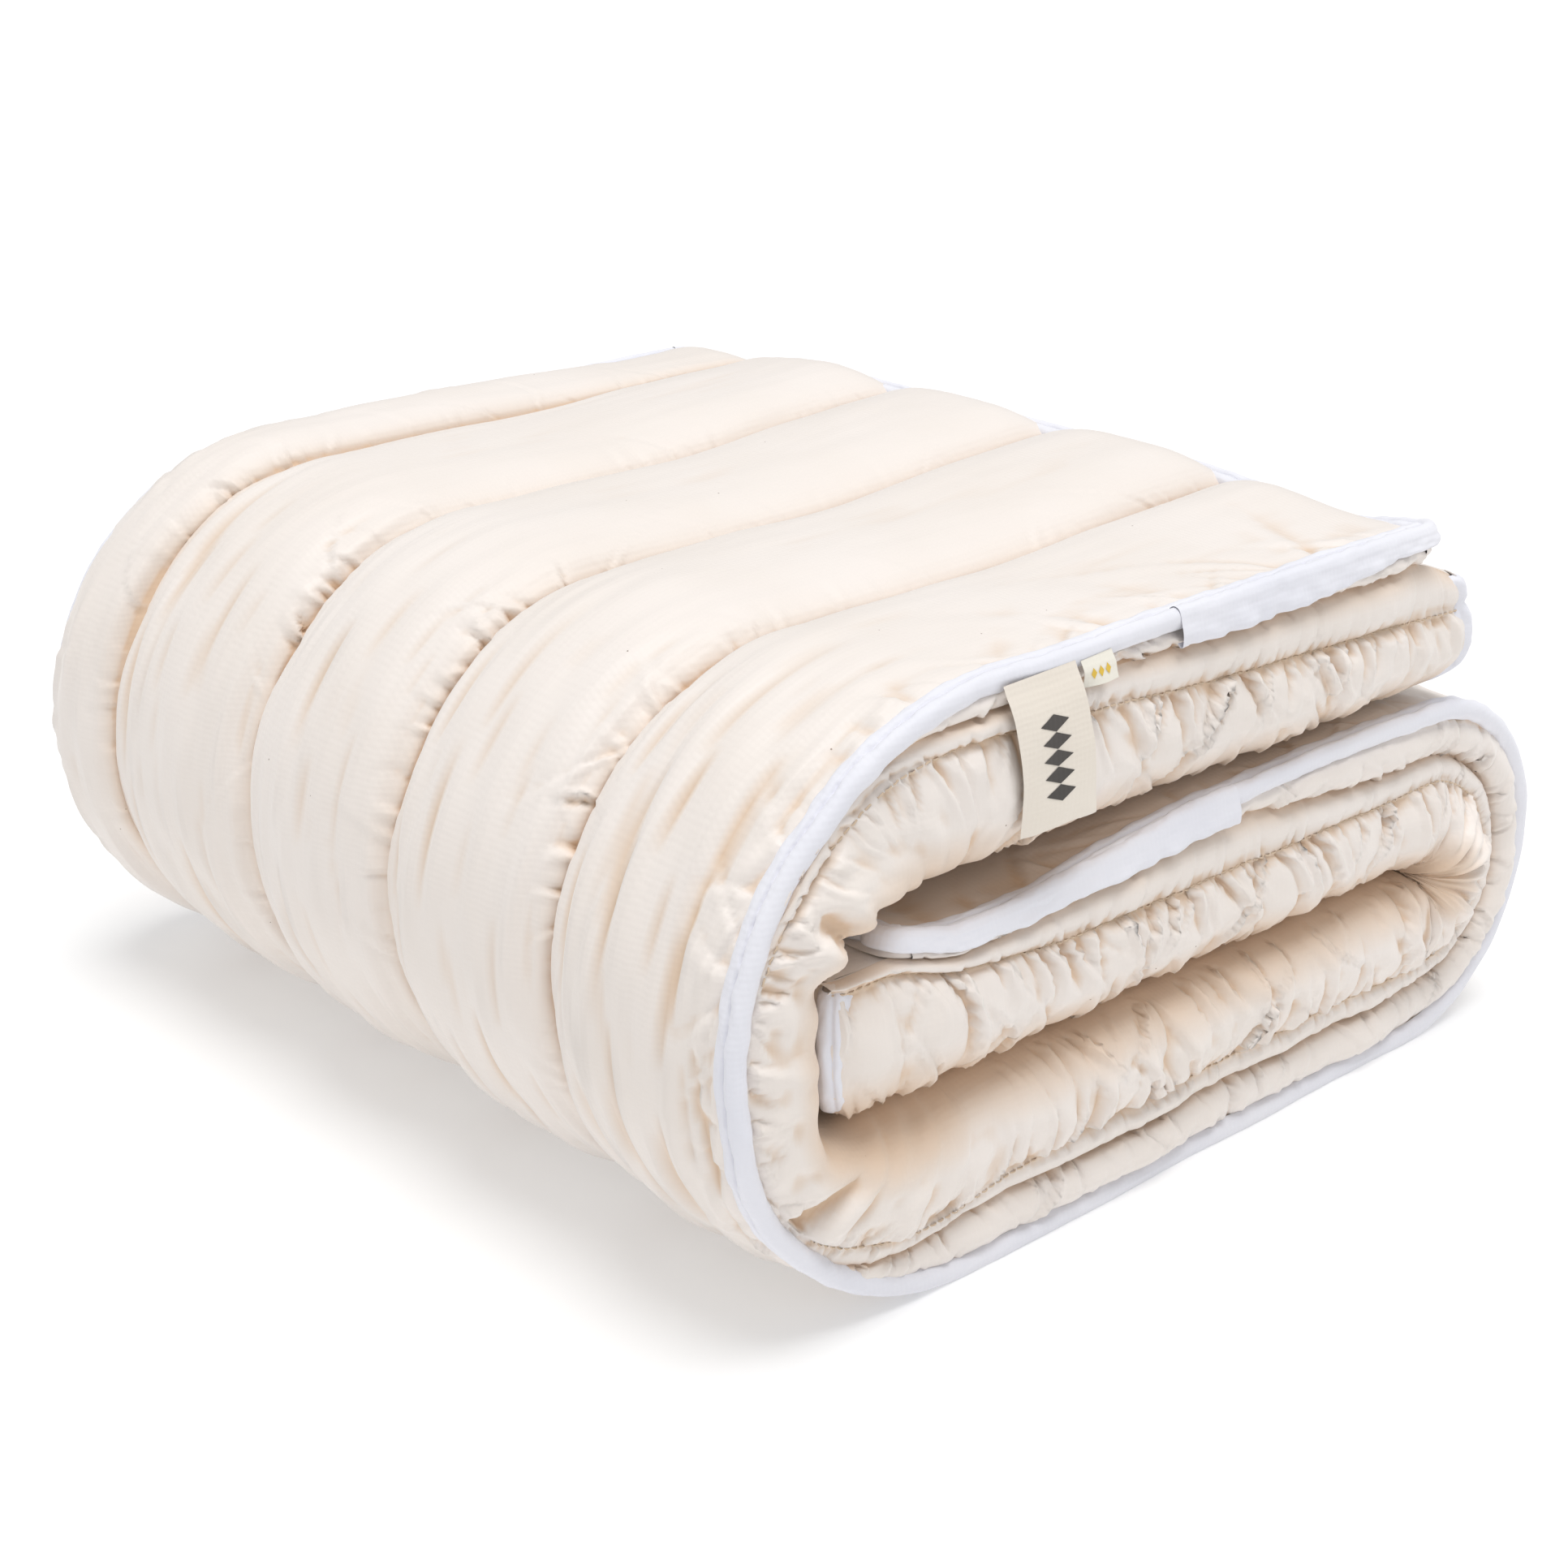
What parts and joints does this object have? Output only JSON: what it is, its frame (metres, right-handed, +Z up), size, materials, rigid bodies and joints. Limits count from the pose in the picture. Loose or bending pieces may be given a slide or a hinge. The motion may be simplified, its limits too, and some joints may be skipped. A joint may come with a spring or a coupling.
{
  "type": "futon mattress",
  "caption": "Quilted cotton and wool futon mattress folded in three, with a boxed core, white bias binding and an outer flap that unfolds.",
  "frame": {"origin": "centre of the folded mattress's base, on the ground", "axes": "+X from the large left fold to the right fold, +Y from the labelled side to the far side, +Z up"},
  "size_m": [0.7, 0.7, 0.35],
  "materials": {
    "cotton_cover": "unbleached cotton percale, soft sheen, fine seed flecks",
    "wool_batting": "carded wool batting",
    "binding_white": "white cotton bias tape",
    "label_natural": "natural cotton tape label, plain weave",
    "label_ivory": "ivory satin label with a plain gold motif"
  },
  "bodies": {
    "base": {"base_binding_far": "binding_white", "base_binding_near": "binding_white", "base_boxing_far": "cotton_cover", "base_boxing_near": "cotton_cover", "base_under_panel": "cotton_cover", "bottom_core": "wool_batting", "bottom_quilt_batting": "wool_batting", "bottom_quilt_cover": "cotton_cover", "inner_binding_lap": "binding_white", "inner_core": "wool_batting", "inner_corner_tape_far": "binding_white", "inner_corner_tape_near": "binding_white", "inner_end_binding": "binding_white", "inner_end_boxing": "cotton_cover", "inner_quilt_batting": "wool_batting", "inner_quilt_cover": "cotton_cover", "right_fold_core": "wool_batting", "right_fold_quilt_batting": "wool_batting", "right_fold_quilt_cover": "cotton_cover"},
    "fold_1": {"fold_1_binding": "binding_white", "fold_1_casing": "cotton_cover", "fold_1_core": "wool_batting", "fold_1_quilt_batting": "wool_batting", "fold_1_quilt_cover": "cotton_cover"},
    "fold_2": {"fold_2_binding": "binding_white", "fold_2_casing": "cotton_cover", "fold_2_core": "wool_batting", "fold_2_quilt_batting": "wool_batting", "fold_2_quilt_cover": "cotton_cover"},
    "fold_3": {"fold_3_binding": "binding_white", "fold_3_casing": "cotton_cover", "fold_3_core": "wool_batting", "fold_3_quilt_batting": "wool_batting", "fold_3_quilt_cover": "cotton_cover"},
    "fold_4": {"fold_4_binding": "binding_white", "fold_4_casing": "cotton_cover", "fold_4_core": "wool_batting", "fold_4_quilt_batting": "wool_batting", "fold_4_quilt_cover": "cotton_cover"},
    "fold_5": {"fold_5_binding": "binding_white", "fold_5_casing": "cotton_cover", "fold_5_core": "wool_batting", "fold_5_quilt_batting": "wool_batting", "fold_5_quilt_cover": "cotton_cover"},
    "outer_flap": {"outer_binding_far": "binding_white", "outer_binding_lap": "binding_white", "outer_binding_near": "binding_white", "outer_boxing_far": "cotton_cover", "outer_boxing_near": "cotton_cover", "outer_core": "wool_batting", "outer_corner_tape_far": "binding_white", "outer_corner_tape_near": "binding_white", "outer_end_binding": "binding_white", "outer_end_boxing": "cotton_cover", "outer_quilt_batting": "wool_batting", "outer_quilt_cover": "cotton_cover", "outer_under_panel": "cotton_cover"},
    "large_label": {"large_label": "label_natural"},
    "small_label": {"small_label": "label_ivory"}
  },
  "joints": [
    {"name": "left_fold_bend_1", "type": "hinge", "parent": "base", "child": "fold_1", "pos_m": [-0.22029, 0, 0.00596], "axis": [0, -1, 0], "range_deg": [0, 30]},
    {"name": "left_fold_bend_2", "type": "hinge", "parent": "fold_1", "child": "fold_2", "pos_m": [-0.29874, 0, 0.05126], "axis": [0, -1, 0], "range_deg": [0, 30]},
    {"name": "left_fold_bend_3", "type": "hinge", "parent": "fold_2", "child": "fold_3", "pos_m": [-0.34404, 0, 0.12971], "axis": [0, -1, 0], "range_deg": [0, 30]},
    {"name": "left_fold_bend_4", "type": "hinge", "parent": "fold_3", "child": "fold_4", "pos_m": [-0.34404, 0, 0.22029], "axis": [0, -1, 0], "range_deg": [0, 30]},
    {"name": "left_fold_bend_5", "type": "hinge", "parent": "fold_4", "child": "fold_5", "pos_m": [-0.29874, 0, 0.29874], "axis": [0, -1, 0], "range_deg": [0, 30]},
    {"name": "left_fold_bend_6", "type": "hinge", "parent": "fold_5", "child": "outer_flap", "pos_m": [-0.22029, 0, 0.34404], "axis": [0, -1, 0], "range_deg": [0, 30]},
    {"name": "large_label_flip", "type": "hinge", "parent": "outer_flap", "child": "large_label", "pos_m": [-0.133, -0.3496, 0.341], "axis": [-1, 0, 0], "range_deg": [0, 150]},
    {"name": "small_label_flip", "type": "hinge", "parent": "outer_flap", "child": "small_label", "pos_m": [-0.09, -0.3496, 0.341], "axis": [-1, 0, 0], "range_deg": [0, 150]}
  ]
}
